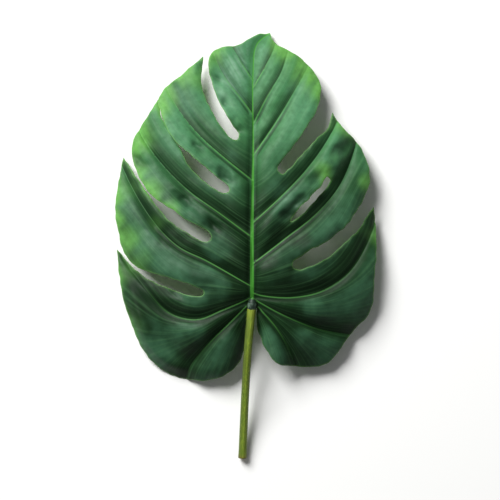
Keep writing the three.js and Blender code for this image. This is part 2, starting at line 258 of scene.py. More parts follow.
# It is slimmer at mid length and fuller at its ends: shares of the radius, and of the length
# that each end takes.
STALK_WAIST = 0.05
STALK_FOOT = (0.05, 0.03)
STALK_TOP = (0.04, 0.05)
STALK_RIB_COUNT = 11
STALK_RIB_HEIGHT = 0.045
STALK_GROOVE_DEPTH = 0.32
STALK_GROOVE_TURN = 0.42 * math.pi
STALK_GROOVE_WIDTH = 0.3
STALK_STEP = 0.9
STALK_SIDES = 56
# The stalk's centreline: its place in plan and its height over the surface.
STALK_LINE = [(-0.3, -10.6, 36), (-3.4, -44, 32), (-6, -84, 19.5), (-7.8, -122, 9.8),
              (-9, -152.6, 4.3)]

KNEE_LENGTH = 10.6
KNEE_RADIUS = 4.4
KNEE_INTO_STALK = 0.6
KNEE_WRINKLE_HEIGHT = 0.05
KNEE_WRINKLES_ALONG = 31
KNEE_LUMP_HEIGHT = 0.14
KNEE_LUMPS_AROUND = 3
KNEE_STEPS = 40
KNEE_SIDES = 48
# The knee's outline: shares of its length, and of its radius.
KNEE_PROFILE = ([0, 0.03, 0.1, 0.3, 0.5, 0.68, 0.82, 0.92, 1],
                [0.84, 0.93, 0.98, 1.0, 0.96, 0.82, 0.62, 0.44, 0.2])

# How a round end closes, ring by ring: how far past the end, its share of the radius, and how
# much of it is cut face.
END_RINGS = [(0.12, 0.94, 0.6), (0.12, 0.5, 1.0)]


# ---------------------------------------------------------------------------
# Curves
# ---------------------------------------------------------------------------

def centripetal_span(p0, p1, p2, p3, count):
    """Points from p1 up to p2 on a centripetal Catmull-Rom curve."""
    t01, t12, t23 = (max(np.linalg.norm(b - a) ** 0.5, 1e-6)
                     for a, b in ((p0, p1), (p1, p2), (p2, p3)))
    leave = (p2 - p1) + t12 * ((p1 - p0) / t01 - (p2 - p0) / (t01 + t12))
    arrive = (p2 - p1) + t12 * ((p3 - p2) / t23 - (p3 - p1) / (t12 + t23))
    t = np.linspace(0, 1, count, endpoint=False)[:, None]
    return ((2 * t**3 - 3 * t**2 + 1) * p1 + (t**3 - 2 * t**2 + t) * leave
            + (3 * t**2 - 2 * t**3) * p2 + (t**3 - t**2) * arrive)


def smooth(points, step, closed=False):
    """A smooth curve through the points, walked in even steps."""
    p = [np.array(q, float) for q in points]
    if closed:
        p = [p[-1], *p, p[0], p[1]]
    else:
        p = [2 * p[0] - p[1], *p, 2 * p[-1] - p[-2]]
    spans = [centripetal_span(*p[i:i + 4], SPAN_POINTS) for i in range(len(p) - 3)]
    dense = np.vstack([*spans, p[-2][None]])
    length = np.concatenate([[0], np.cumsum(np.linalg.norm(np.diff(dense, axis=0), axis=1))])
    count = max(2, round(length[-1] / step))
    where = np.linspace(0, length[-1], count + 1)
    walked = np.stack([np.interp(where, length, dense[:, k]) for k in range(dense.shape[1])], 1)
    return walked[:-1] if closed else walked


def nearest(path, xy):
    """Distance to a path, how far along it the nearest place is, and the side (+1 left)."""
    best = np.full(len(xy), np.inf)
    along = np.zeros(len(xy))
    side = np.ones(len(xy))
    for i in range(len(path) - 1):
        a = path[i]
        d = path[i + 1] - a
        off = xy - a
        t = np.clip(off @ d / (d @ d), 0, 1)
        distance = np.linalg.norm(off - t[:, None] * d, axis=1)
        closer = distance < best
        best[closer] = distance[closer]
        along[closer] = ((i + t) / (len(path) - 1))[closer]
        side[closer] = np.where(d[0] * off[:, 1] - d[1] * off[:, 0] > 0, 1, -1)[closer]
    return best, along, side


def bell(distance, width):
    return np.exp(-(distance / width) ** 2)


def ramp(value, start, end):
    """0 before start, 1 past end, smooth between."""
    t = np.clip((value - start) / (end - start), 0, 1)
    return t * t * (3 - 2 * t)


def rough_noise(xy, scale, seed):
    """Smooth noise from -1 to 1 with the given wavelength."""
    return np.array([noise.noise(Vector((x / scale, y / scale, seed))) for x, y in xy])


# ---------------------------------------------------------------------------
# Where each point lies among the veins
# ---------------------------------------------------------------------------

MIDRIB_PATH = smooth(MIDRIB, VEIN_PATH_STEP)
SINUS_PATH = smooth(SINUS_LINE, SLIT_PATH_STEP)
LEFT_PATHS = [smooth(vein, VEIN_PATH_STEP) for vein in LEFT_VEINS]
RIGHT_PATHS = [smooth(vein, VEIN_PATH_STEP) for vein in RIGHT_VEINS]


class VeinMap:
    """For each point of the plan: its distance from the veins and its place between them."""

    def __init__(self, xy):
        self.midrib, self.midrib_along, midrib_side = nearest(MIDRIB_PATH, xy)
        below = xy[:, 1] < SINUS_TOP_Y
        _, _, sinus_side = nearest(SINUS_PATH, xy)
        on_left = np.where(below, sinus_side < 0, midrib_side > 0)
        self.side_vein = np.full(len(xy), np.inf)
        self.side_along = np.zeros(len(xy))
        self.fan = np.zeros(len(xy))
        self.gap = np.zeros(len(xy))
        self.share = np.zeros(len(xy))
        self.below_vein = np.zeros(len(xy))
        for mask, paths, base_side in ((on_left, LEFT_PATHS, 1), (~on_left, RIGHT_PATHS, -1)):
            self._fill(xy, mask, paths, base_side)

    def _fill(self, xy, mask, paths, base_side):
        """Fill in the half of the leaf that mask picks. base_side is the side of a vein that
        faces the leaf's base."""
        here = xy[mask]
        above, _, _ = nearest(MIDRIB_PATH, here)
        cell = np.zeros(len(here), int)
        distances = [above]
        alongs = [np.zeros(len(here))]
        for path in paths:
            distance, along, side = nearest(path, here)
            cell += side * base_side > 0
            distances.append(distance)
            alongs.append(along)
        distances.append(nearest(SINUS_PATH, here)[0])
        distances = np.array(distances)
        alongs = np.array([*alongs, alongs[0]])
        row = np.arange(len(here))
        tipward = distances[cell, row]
        baseward = distances[cell + 1, row]
        self.below_vein[mask] = tipward
        self.gap[mask] = tipward + baseward
        self.share[mask] = tipward / np.maximum(tipward + baseward, 1e-6)
        self.fan[mask] = cell + self.share[mask]
        veins_only = distances[1:-1]
        closest = veins_only.argmin(0)
        self.side_vein[mask] = veins_only[closest, row]
        self.side_along[mask] = alongs[1:-1][closest, row]


# ---------------------------------------------------------------------------
# Height of the upper face
# ---------------------------------------------------------------------------

# Where the lobes have buckled, mostly beside the slits: place, reach, and height, which is below
# zero for a dent.
BUCKLES = [
    (-35, 206, 5.5, -3.6), (-26, 181, 5, -3.9), (-15, 158, 5.5, -4.2), (-26, 114, 7, -7.0),
    (-52, 142, 6, -6.0), (-63, 92, 7, -6.8), (-38, 67, 6, -5.7), (-105, 129, 8, -5.5),
    (-92, 62, 8, -3.4), (-70, 7, 7, -3.4), (34, 79, 6, -4.7), (45, 90, 5, -4.4),
    (60, 113, 7, -4.9), (80, 59, 7, -3.9), (84, 140, 8, -4.2), (26, 60, 8, -2.6),
    (10, 168, 8, -1.8), (12, 148, 7, -1.8), (-33, 121, 5, 2.2), (-57, 147, 5, 2.0),
    (-70, 100, 6, 2.4), (-46, 71, 5, 2.0), (52, 88, 5, 2.6), (68, 120, 6, 2.4), (88, 66, 6, 1.8),
    (-96, 140, 7, 2.0),
]
BUCKLE_WANDER = 3
BUCKLE_WANDER_LENGTH = 9
BUCKLE_LENGTHENING = 1.7
BUCKLE_NARROWING = 0.75
# A dent this deep gets as much painted shade as a fold, but none gets more than the second share.
DARKEST_DENT_DEPTH = 7
DARKEST_DENT = 0.6
# The way the lobes run out from the midrib: sideways and towards the tip.
LOBE_RUN = (0.76, 0.65)


def crown(xy):
    """The shallow dome that the whole blade lies in."""
    x, y = xy.T
    reach = np.where(y > CROWN_Y, CROWN_TIP_REACH, CROWN_BASE_REACH)
    return CROWN_HEIGHT * (1 - (x / CROWN_HALF_WIDTH) ** 2 - ((y - CROWN_Y) / reach) ** 2)


def sinus_droop(xy):
    """The basal lobes fall away on either side of the stalk."""
    x, y = xy.T
    return SINUS_DROP * ramp(-y, SINUS_DROP_FROM, SINUS_DROP_FULL) * bell(x, SINUS_REACH)


def beside_slit(xy, slit):
    """How far points are from a slit, how far out along it, and +1 on its tip side, else -1."""
    path = smooth(slit, SLIT_PATH_STEP)
    distance, along, side = nearest(path, xy)
    return distance, along, side if path[-1][0] > 0 else -side


def slit_step(xy, slit, closed=False):
    """The lobe on the tip side of a slit turns up at its edge, and the one below dips."""
    distance, along, tip_side = beside_slit(xy, slit)
    fade = ramp(along, *SLIT_EDGE_FADE_IN)
    if closed:
        fade = fade * (1 - ramp(along, *CLOSED_SLIT_FADE_OUT))
    return SLIT_EDGE_LIFT * tip_side * fade * np.exp(-distance / SLIT_EDGE_REACH)


def flap_over(xy):
    """Sideways shift, in plan, that carries some lobes' upturned edges over their slits."""
    shift = np.zeros(xy.shape)
    for slit, reach, start, end in FLAPS:
        distance, along, tip_side = beside_slit(xy, slit)
        out = np.subtract(slit[-1], slit[0])
        out = out / np.linalg.norm(out)
        baseward = np.array([-out[1], out[0]]) * (-1 if slit[-1][0] > 0 else 1)
        amount = reach * ramp(along, start, end) * np.exp(-distance / FLAP_REACH) * (tip_side > 0)
        if slit is CLOSED_SLIT_LINE:
            amount = amount * (1 - ramp(along, *CLOSED_FLAP_FADE_OUT))
        shift += amount[:, None] * baseward
    return shift


def swell(veins):
    """How full the blade is between its neighbouring veins, 0 at a vein and 1 at the crest."""
    return np.sin(np.pi * veins.share ** SWELL_LEAN) ** SWELL_FULLNESS


def creases(veins):
    """The narrow folds just below each side vein and along the midrib, 1 where deepest."""
    below = bell(veins.below_vein - SIDE_FOLD_AT, FOLD_WIDTH)
    below *= 1 - ramp(veins.side_along, *SIDE_FOLD_FADE_OUT)
    below *= ramp(veins.midrib, *SIDE_FOLD_OFF_MIDRIB)
    beside = MIDRIB_FOLD_SHARE * bell(veins.midrib - MIDRIB_FOLD_AT, FOLD_WIDTH)
    beside *= 1 - ramp(veins.midrib_along, *MIDRIB_FOLD_FADE_OUT)
    beside *= ramp(veins.side_vein, *MIDRIB_FOLD_OFF_VEIN)
    towards_tip = TIP_FOLD_LOSS * ramp(veins.midrib_along, *TIP_FOLD_FADE)
    return np.maximum(below, beside) * (1 - towards_tip)


def arches(xy, veins):
    """The blade swells between neighbouring veins, steepest just below each vein, and lies
    flatter towards its tip."""
    flattening = TIP_FLATTENING * ramp(xy[:, 1], TIP_FLAT_FROM_Y, TIP_FLAT_FULL_Y)
    height = np.minimum(SWELL_SLOPE * veins.gap, SWELL_HIGHEST) * (1 - flattening)
    by_midrib = 1 - np.exp(-veins.midrib / SWELL_FROM_MIDRIB)
    valley = MIDRIB_VALLEY_DEPTH * np.exp(-veins.midrib / MIDRIB_VALLEY_REACH)
    return height * swell(veins) * by_midrib - valley - FOLD_DEPTH * creases(veins)


def strip_noise(across, along):
    """Smooth noise for a pattern that runs out between the side veins."""
    return np.array([noise.noise(Vector((a, b, 13.0))) for a, b in zip(across, along)])


def streaked(veins, strength, count, length):
    """Noise in long streaks that run out between the side veins."""
    return strength * strip_noise(count * veins.fan, veins.midrib / length)


def corrugation(veins):
    """Low ridges that run out between the side veins, finer ones over broader ones."""
    away = ramp(veins.side_vein, *RIDGES_OFF_VEIN) * ramp(veins.midrib, *RIDGES_OFF_MIDRIB)
    room = np.minimum(veins.gap / ROOM_FOR_FULL_RIDGES, 1)
    ridges = streaked(veins, *BROAD_RIDGES) + streaked(veins, *FINE_RIDGES)
    return away * room * ridges


def buckles(xy):
    """Dents and puckers, drawn out along the run of their lobes, with wandering edges. A dent is
    pinched in the middle."""
    wander = np.column_stack([rough_noise(xy, BUCKLE_WANDER_LENGTH, seed) for seed in (50.0, 60.0)])
    lift = np.zeros(len(xy))
    for x, y, reach, height in BUCKLES:
        run = np.array([math.copysign(LOBE_RUN[0], x), LOBE_RUN[1]])
        off = xy + BUCKLE_WANDER * wander - (x, y)
        along = off @ run / BUCKLE_LENGTHENING
        across = (off @ (-run[1], run[0])) / BUCKLE_NARROWING
        off_centre = np.hypot(along, across)
        pinch = np.exp(-off_centre / (0.85 * reach)) if height < 0 else 0
        lift += height * (0.8 * bell(off_centre, reach) + 0.3 * pinch)
    return lift


def basal_roll(xy, rim_distance):
    """The left basal lobe's outer edge rolls up a little inside its rim."""
    x, y = xy.T
    where = bell(np.hypot(x - ROLL_CENTRE[0], y - ROLL_CENTRE[1]), ROLL_LENGTH)
    crest, dip = (height * bell(rim_distance - inwards, width)
                  for height, inwards, width in (ROLL_CREST, ROLL_DIP))
    return where * (crest - dip)


def waves(xy, height, wavelength, seed):
    return height * rough_noise(xy, wavelength, seed)


def upper_height(xy, veins, rim_distance):
    z = crown(xy) - sinus_droop(xy) + arches(xy, veins)
    for slit in OPEN_SLITS:
        z += slit_step(xy, slit)
    z += slit_step(xy, CLOSED_SLIT_LINE, closed=True)
    z += buckles(xy) + basal_roll(xy, rim_distance)
    z += waves(xy, *BROAD_WAVES)
    z += waves(xy, *MIDDLE_WAVES) * ramp(veins.side_vein, *MIDDLE_WAVES_OFF_VEIN)
    z += waves(xy, *RIM_WAVES) * bell(rim_distance, RIM_WAVES_REACH)
    z += corrugation(veins)
    z -= RIM_TURN_DOWN * np.exp(-rim_distance / RIM_TURN_REACH)
    side_vein = (1 - veins.side_along) * bell(veins.side_vein, SIDE_VEIN_HALF_WIDTH)
    midrib = (1 - MIDRIB_RISE_LOSS * veins.midrib_along) * bell(veins.midrib, MIDRIB_HALF_WIDTH)
    return z + SIDE_VEIN_RISE * side_vein + MIDRIB_RISE * midrib


def blade_thickness(veins, rim_distance):
    """Thin at the rim, and thicker along the ribs that the veins make under the blade."""
    midrib = (1 - veins.midrib_along) * bell(veins.midrib, MIDRIB_RIB_HALF_WIDTH)
    side = (1 - veins.side_along) * bell(veins.side_vein, SIDE_RIB_HALF_WIDTH)
    skin = (BLADE_THICKNESS - RIM_THICKNESS) * ramp(rim_distance, 0, THIN_RIM_WIDTH)
    return RIM_THICKNESS + skin + MIDRIB_RIB_HEIGHT * midrib + SIDE_RIB_HEIGHT * side


# ---------------------------------------------------------------------------
# Blade mesh
# ---------------------------------------------------------------------------

def notch():
    turn = np.linspace(math.pi, 0, NOTCH_POINTS)
    ring = np.stack([np.cos(turn), np.sin(turn)], 1) * NOTCH_RADIUS
    return ring + (0, NOTCH_CENTRE_Y)


def blade_rim():
    runs = [TIP_AND_FIRST_LEFT_SLIT, FIRST_LEFT_LOBE, SECOND_LEFT_LOBE, THIRD_LEFT_LOBE,
            LEFT_BASAL_LOBE]
    right = [RIGHT_BASAL_LOBE, SECOND_RIGHT_LOBE, FIRST_RIGHT_SLIT]
    walked = [smooth(run, RIM_STEP)[:-1] for run in runs]
    walked += [smooth(LEFT_BASAL_LOBE, RIM_STEP)[-1:], notch()]
    walked += [smooth(run, RIM_STEP)[:-1] for run in right]
    return np.vstack(walked)


def inside(loop, xy):
    odd = np.zeros(len(xy), bool)
    x, y = xy.T
    for a, b in zip(loop, np.roll(loop, -1, axis=0)):
        spans = (a[1] > y) != (b[1] > y)
        if not spans.any():
            continue
        cross = (b[0] - a[0]) * (y - a[1]) / (b[1] - a[1]) + a[0]
        odd ^= spans & (x < cross)
    return odd


def distance_to(points, xy):
    tree = kdtree.KDTree(len(points))
    for i, (x, y) in enumerate(points):
        tree.insert((x, y, 0), i)
    tree.balance()
    return np.array([tree.find((x, y, 0))[2] for x, y in xy])


def vein_rows():
    """Rows of points along every vein and on both its flanks."""
    rows = []
    for vein in [MIDRIB, *LEFT_VEINS, *RIGHT_VEINS]:
        path = smooth(vein, VEIN_STEP)
        run = np.gradient(path, axis=0)
        run /= np.linalg.norm(run, axis=1)[:, None]
        aside = np.stack([-run[:, 1], run[:, 0]], 1)
        for offset in VEIN_ROWS:
            rows.append(path + offset * aside)
    return rows


def keep_apart(rows, gap):
    """Join the rows, without the points that come within gap of an earlier row."""
    kept = rows[0]
    for row in rows[1:]:
        kept = np.vstack([kept, row[distance_to(kept, row) > gap]])
    return kept


def lattice(low, high):
    row_height = SKIN_STEP * math.sqrt(0.75)
    ys = np.arange(low[1], high[1], row_height)
    rows = []
    for j, y in enumerate(ys):
        xs = np.arange(low[0] + (j % 2) * SKIN_STEP / 2, high[0], SKIN_STEP)
        rows.append(np.stack([xs, np.full(len(xs), y)], 1))
    return np.vstack(rows)


def skin_points(rim, hole):
    """Plan points of the blade: its rims first, then the veins, then an even fill."""
    def on_blade(xy):
        return xy[inside(rim, xy) & ~inside(hole, xy)]

    edges = np.vstack([rim, hole])
    veins = on_blade(keep_apart(vein_rows(), LEAST_VEIN_GAP))
    veins = veins[distance_to(edges, veins) > RIM_SPACING * RIM_STEP]
    fixed = np.vstack([edges, veins])
    fill = on_blade(lattice(rim.min(0), rim.max(0)))
    fill = fill[distance_to(fixed, fill) > SKIN_SPACING * SKIN_STEP]
    return np.vstack([fixed, fill])


def skin_triangles(points, rim_count, hole_count):
    """Triangles between the points, and the edges of the two loops that come first in them."""
    loops = [(0, rim_count), (rim_count, hole_count)]
    edges = [(start + i, start + (i + 1) % count) for start, count in loops
             for i in range(count)]
    _, _, faces, sources, _, _ = delaunay_2d_cdt(
        [Vector(p) for p in points.tolist()], edges, [], 0, 1e-6)
    assert all(len(s) == 1 for s in sources)
    order = [s[0] for s in sources]
    return np.array([[order[i] for i in f] for f in faces]), edges


def blade_net():
    """The blade's plan points, its triangles, its rim edges, and for each rim point +1 where
    the blade lies to the left of the rim's run, else -1."""
    rim = blade_rim()
    hole = smooth(CLOSED_SLIT, RIM_STEP, closed=True)
    points = skin_points(rim, hole)
    triangles, edges = skin_triangles(points, len(rim), len(hole))
    middles = points[triangles].mean(1)
    triangles = triangles[inside(rim, middles) & ~inside(hole, middles)]
    blade_side = np.concatenate([np.ones(len(rim)), -np.ones(len(hole))])
    return points, triangles, edges, blade_side


def way_out(points, edges, blade_side):
    """At each rim point, the direction in plan that leads off the blade."""
    out = np.zeros((len(blade_side), 2))
    for a, b in edges:
        run = points[b] - points[a]
        out[a] += (run[1], -run[0])
        out[b] += (run[1], -run[0])
    return blade_side[:, None] * out / np.linalg.norm(out, axis=1)[:, None]


def new_mesh_object(name, vertices, faces):
    mesh = bpy.data.meshes.new(name)
    mesh.from_pydata(vertices, [], faces)
    mesh.validate()
    mesh.update()
    for face in mesh.polygons:
        face.use_smooth = True
    obj = bpy.data.objects.new(name, mesh)
    bpy.context.collection.objects.link(obj)
    return obj


def paint(obj, name, values):
    """Store one number per vertex for the materials."""
    layer = obj.data.attributes.new(name, "FLOAT", "POINT")
    layer.data.foreach_set("value", np.asarray(values, np.float32))


# Where the blade has ripened yellow-green, mostly its outer margins: centre, reach, strength.
RIPE = [
    (50, 210, 22, 0.75), (60, 196, 13, 0.7), (30, 232, 18, 0.6), (-33, 227, 13, 0.5),
    (-80, 186, 15, 0.7), (-60, 207, 15, 0.55), (-107, 148, 19, 0.85), (-92, 104, 12, 0.65),
    (-104, 122, 12, 0.5), (-73, 86, 9, 0.45), (-124, 98, 15, 0.5), (-113, 58, 15, 0.65),
    (-126, 74, 12, 0.55), (-100, 42, 12, 0.45), (-92, 68, 10, 0.4), (66, 120, 10, 0.75),
    (76, 132, 9, 0.4), (106, 108, 9, 0.6), (86, 156, 11, 0.4), (-122, 20, 14, 0.3),
    (-108, -28, 22, 0.22), (112, 58, 9, 0.3),
]

# How the yellow-green follows the rim: its share inside the blade and what the rim adds with
# how far in, then the line along the very rim.
RIPE_INSIDE = 0.45
RIPE_MARGIN = (0.85, 12)
RIPE_RIM = (0.25, 3)
# Its streaks and clouds, and the painted sheen's streaks: strength, how many side by side or
# the seed, and length.
RIPE_STREAKS = (0.4, 9, 60)
RIPE_CLOUDS = (0.25, 40.0, 17)
SHEEN_STREAKS = (0.7, 12, 40)

# The painted sheen on the crests comes in with the room between the veins and away from the midrib.
SHEEN_GAP = (8, 30)
SHEEN_OFF_MIDRIB = 12
SHEEN_PATCH_OFF_MIDRIB = (1, 6)
# Where the painted sheen is strongest, beyond what the crests carry: centre, reach, strength.
SHEEN_PATCHES = [
    (-14, 200, 26, 1.3), (-24, 220, 16, 0.5), (2, 236, 16, 1.0), (33, 96, 15, 0.8),
    (-20, 128, 12, 0.5), (-36, 30, 16, 0.4), (46, 198, 14, 0.8), (-62, 172, 14, 0.6),
    (-76, 190, 14, 0.6),
]


def painted_sheen(xy, veins):
    """How strong the painted sheen is: full on the crests between the veins, streaked elsewhere."""
    crest = swell(veins) * ramp(veins.gap, *SHEEN_GAP)
    crest *= 1 - np.exp(-veins.midrib / SHEEN_OFF_MIDRIB)
    highlight_patches = np.zeros(len(xy))
    for x, y, reach, strength in SHEEN_PATCHES:
        highlight_patches += strength * bell(np.hypot(xy[:, 0] - x, xy[:, 1] - y), reach)
    highlight_patches *= 1 + streaked(veins, *SHEEN_STREAKS)
    return crest + highlight_patches * ramp(veins.midrib, *SHEEN_PATCH_OFF_MIDRIB)


def ripeness(xy, veins, rim_distance):
    """How far the yellow-green shows, streaked along the side ribs."""
    glow = np.zeros(len(xy))
    for x, y, reach, strength in RIPE:
        glow = np.maximum(glow, strength * bell(np.hypot(xy[:, 0] - x, xy[:, 1] - y), reach))
    strength, seed, size = RIPE_CLOUDS
    clouds = strength * rough_noise(xy, size, seed)
    margin, rim = (share * np.exp(-rim_distance / reach)
                   for share, reach in (RIPE_MARGIN, RIPE_RIM))
    glow *= RIPE_INSIDE + margin
    return glow * (1 + streaked(veins, *RIPE_STREAKS) + clouds) + rim


def painted_fold_shade(xy, veins):
    """Painted shade in the folds and the dents, a dent's in step with its depth."""
    dents = np.clip(-buckles(xy) / DARKEST_DENT_DEPTH, 0, DARKEST_DENT)
    return np.maximum(creases(veins), dents)


# How strong a side vein's colour is at its end, and what it loses on the way there.
FAINT_VEIN = 0.05
VEIN_LOSS = 0.5
VEIN_FADE_OUT = (0.05, 0.75)
# The tip's lighter tone, painted light, comes in between these, from the base up; the darker base
# is painted shade.
TIP_TONE_Y = (-60, 240)
# How much of the underside's look the rounded rim has.
RIM_UNDERSIDE = 0.3


def paint_blade(obj, xy, veins, rim_distance, rim_count):
    """Paint the upper face, the underside and the rounded rim between them."""
    fields = {
        "midrib_distance": veins.midrib,
        "midrib_along": veins.midrib_along,
        "vein_distance": veins.side_vein,
        "vein_fade": FAINT_VEIN + VEIN_LOSS * (1 - ramp(veins.side_along, *VEIN_FADE_OUT)),
        # Painted shade in the folds and dents; painted sheen on the crests and patches.
        "fold_shade": painted_fold_shade(xy, veins),
        "sheen_paint": painted_sheen(xy, veins),
        "fan": veins.fan,
        "share": veins.share,
        "rim_distance": rim_distance,
        "ripe": ripeness(xy, veins, rim_distance),
        "towards_tip": ramp(xy[:, 1], *TIP_TONE_Y),
    }
    for name, values in fields.items():
        paint(obj, name, np.concatenate([values, values, values[:rim_count]]))
    upper, under, rim = np.zeros(len(xy)), np.ones(len(xy)), np.full(rim_count, RIM_UNDERSIDE)
    paint(obj, "underside", np.concatenate([upper, under, rim]))


def build_blade():
    points, triangles, edges, blade_side = blade_net()
    count, rim_count = len(points), len(blade_side)
    rim_distance = distance_to(points[:rim_count], points)
    veins = VeinMap(points)
    ragged = np.column_stack([rough_noise(points, RIM_RAG_LENGTH, seed) for seed in (21.0, 34.0)])
    ragged *= RIM_RAGGEDNESS * bell(rim_distance, RIM_RAG_WIDTH)[:, None]
    plan = points + flap_over(points) + ragged
    top = upper_height(points, veins, rim_distance)
    upper = np.column_stack([plan, top])
    under = np.column_stack([plan, top - blade_thickness(veins, rim_distance)])

    # The rim is rounded by one middle row, a little outside the two skins.
    middle = (upper[:rim_count] + under[:rim_count]) / 2
    middle[:, :2] += RIM_BULGE * way_out(points, edges, blade_side)
    faces = [*triangles.tolist(), *(triangles[:, ::-1] + count).tolist()]
    for a, b in edges:
        if blade_side[a] < 0:
            a, b = b, a
        faces.append((a, 2 * count + a, 2 * count + b, b))
        faces.append((2 * count + a, count + a, count + b, 2 * count + b))
    vertices = np.vstack([upper, under, middle]) * MM
    obj = new_mesh_object("blade", vertices.tolist(), faces)
    paint_blade(obj, points, veins, rim_distance, rim_count)
    return obj


# ---------------------------------------------------------------------------
# Stalk and knee
# ---------------------------------------------------------------------------

def frames_along(path):
    """At each point of a path: the direction of travel, a level sideways one, and up."""
    along = np.gradient(path, axis=0)
    along /= np.linalg.norm(along, axis=1)[:, None]
    across = np.cross(along, (0, 0, 1))
    across /= np.linalg.norm(across, axis=1)[:, None]
    return along, across, np.cross(across, along)


def tube_faces(ring_count, sides):
    """Quads between neighbouring rings, and a fan at each end round a centre point. The two
    centres come after the rings."""
    faces = []
    first_centre = ring_count * sides
    last_ring = (ring_count - 1) * sides
    for i in range(sides):
        j = (i + 1) % sides
        for start in range(0, last_ring, sides):
            faces.append((start + i, start + sides + i, start + sides + j, start + j))
        faces.append((first_centre, i, j))
        faces.append((first_centre + 1, last_ring + j, last_ring + i))
    return faces


def tube(name, path, radius_at, sides):
    """A closed round body along a path, its ends flat with a fine chamfer. radius_at(share of
    the length, angles) gives its radius."""
    along, across, up = frames_along(path)
    angle = np.linspace(0, 2 * math.pi, sides, endpoint=False)
    shares = np.linspace(0, 1, len(path))
    last = len(path) - 1
    stations = [
        *[(0, -past_end, size, cut) for past_end, size, cut in reversed(END_RINGS)],
        *[(k, 0, 1, 0) for k in range(len(path))],
        *[(last, past_end, size, cut) for past_end, size, cut in END_RINGS],
    ]
    rings = []
    for k, past_end, size, _ in stations:
        r = size * radius_at(shares[k], angle)[:, None]
        rings.append(path[k] + past_end * along[k]
                     + r * (np.cos(angle)[:, None] * across[k] + np.sin(angle)[:, None] * up[k]))
    centres = [rings[0].mean(0)[None], rings[-1].mean(0)[None]]
    vertices = np.vstack([*rings, *centres]) * MM
    obj = new_mesh_object(name, vertices.tolist(), tube_faces(len(rings), sides))
    ring_share = [shares[k] for k, *_ in stations]
    ring_cut = [cut for *_, cut in stations]
    paint(obj, "around", np.append(np.tile(angle / (2 * math.pi), len(rings)), [0, 0]))
    paint(obj, "along", np.append(np.repeat(ring_share, sides), [0, 1]))
    paint(obj, "cut", np.append(np.repeat(ring_cut, sides), [1, 1]))
    return obj


def stalk_radius(share, angle):
    """Round, a little fuller at both ends, with faint lengthwise ribs and one shallow groove."""
    foot = STALK_FOOT[0] * bell(1 - share, STALK_FOOT[1])
    top = STALK_TOP[0] * bell(share, STALK_TOP[1])
    r = STALK_RADIUS * (1 - STALK_WAIST * math.sin(math.pi * share)) * (1 + foot + top)
    ribs = STALK_RIB_HEIGHT * np.cos(STALK_RIB_COUNT * angle + 0.6 * math.sin(5 * share))
    groove = STALK_GROOVE_DEPTH * bell(angle - STALK_GROOVE_TURN, STALK_GROOVE_WIDTH)
    return r + ribs - groove


def build_stalk():
    return tube("stalk", smooth(STALK_LINE, STALK_STEP), stalk_radius, STALK_SIDES)


def knee_radius(share, angle):
    """A short swollen joint: fuller than the stalk, shallow uneven wrinkles, drawn in to meet
    the midrib."""
    body = KNEE_RADIUS * np.interp(share, *KNEE_PROFILE)
    wavering = KNEE_WRINKLES_ALONG * share + 1.5 * np.cos(2 * angle)
    wrinkles = KNEE_WRINKLE_HEIGHT * np.sin(wavering)
    lumps = KNEE_LUMP_HEIGHT * np.cos(KNEE_LUMPS_AROUND * angle + 1.1)
    return body + (wrinkles + lumps) * math.sin(math.pi * share)


def build_knee():
    start, next_point = np.array(STALK_LINE[:2])
    way = start - next_point
    way /= np.linalg.norm(way)
    steps = np.linspace(-KNEE_INTO_STALK, KNEE_LENGTH, KNEE_STEPS)
    return tube("knee", start + steps[:, None] * way, knee_radius, KNEE_SIDES)


# ---------------------------------------------------------------------------
# Materials
# ---------------------------------------------------------------------------

SKIN_IOR = 1.45
SMOOTH = {"interpolation_type": "SMOOTHSTEP"}
COLOURS = {"data_type": "RGBA", "out": 2}


def rgb(hex_code):
    """A screen colour such as 2d5a3a as the linear colour that the shader takes."""
    levels = [int(hex_code[i:i + 2], 16) / 255 for i in (0, 2, 4)]
    return [v / 12.92 if v <= 0.04045 else ((v + 0.055) / 1.055) ** 2.4 for v in levels] + [1]


def per_metre(size):
    """The scale of a pattern whose cells are so many millimetres across."""
    return 1 / (size * MM)


def add(tree, kind, inputs=None, out=0, **settings):
    """Add a node, set it up, feed its inputs with values or sockets, and return one output."""
    made = tree.nodes.new(kind)
    for key, value in settings.items():
        setattr(made, key, value)
    for key, value in (inputs or {}).items():
        if isinstance(value, bpy.types.NodeSocket):
            tree.links.new(value, made.inputs[key])
        else:
            made.inputs[key].default_value = value
    return made.outputs[out] if made.outputs else None


def new_material(name):
    material = bpy.data.materials.new(name)
    material.use_nodes = True
    material.node_tree.nodes.clear()
    return material, material.node_tree


def painted(tree, *names):
    """The values that were painted on the mesh under these names."""
    return [add(tree, "ShaderNodeAttribute", out="Fac", attribute_name=name) for name in names]


def coats(tree, ground, layers):
    """Lay colours over the ground one after another. Each shows as its field goes from start to
    end, up to its strength."""
    for field, start, end, strength, tone in layers:
        cover = add(tree, "ShaderNodeMapRange", {
            0: field, 1: start, 2: end, 3: 0.0, 4: strength}, **SMOOTH)
        ground = add(tree, "ShaderNodeMix", {0: cover, 6: ground, 7: tone}, **COLOURS)
    return ground


def side_ribs(tree):
    """Fine ribs, about 2 mm apart, that run out from the midrib between the side veins."""
    fan, midrib_distance = painted(tree, "fan", "midrib_distance")
    across = add(tree, "ShaderNodeMath", {0: fan, 1: 26.0}, operation="MULTIPLY")
    along = add(tree, "ShaderNodeMath", {0: midrib_distance, 1: 0.012}, operation="MULTIPLY")
    place = add(tree, "ShaderNodeCombineXYZ", {0: across, 1: along})
    return add(tree, "ShaderNodeTexNoise", {"Vector": place, "Scale": 1, "Detail": 2.5})


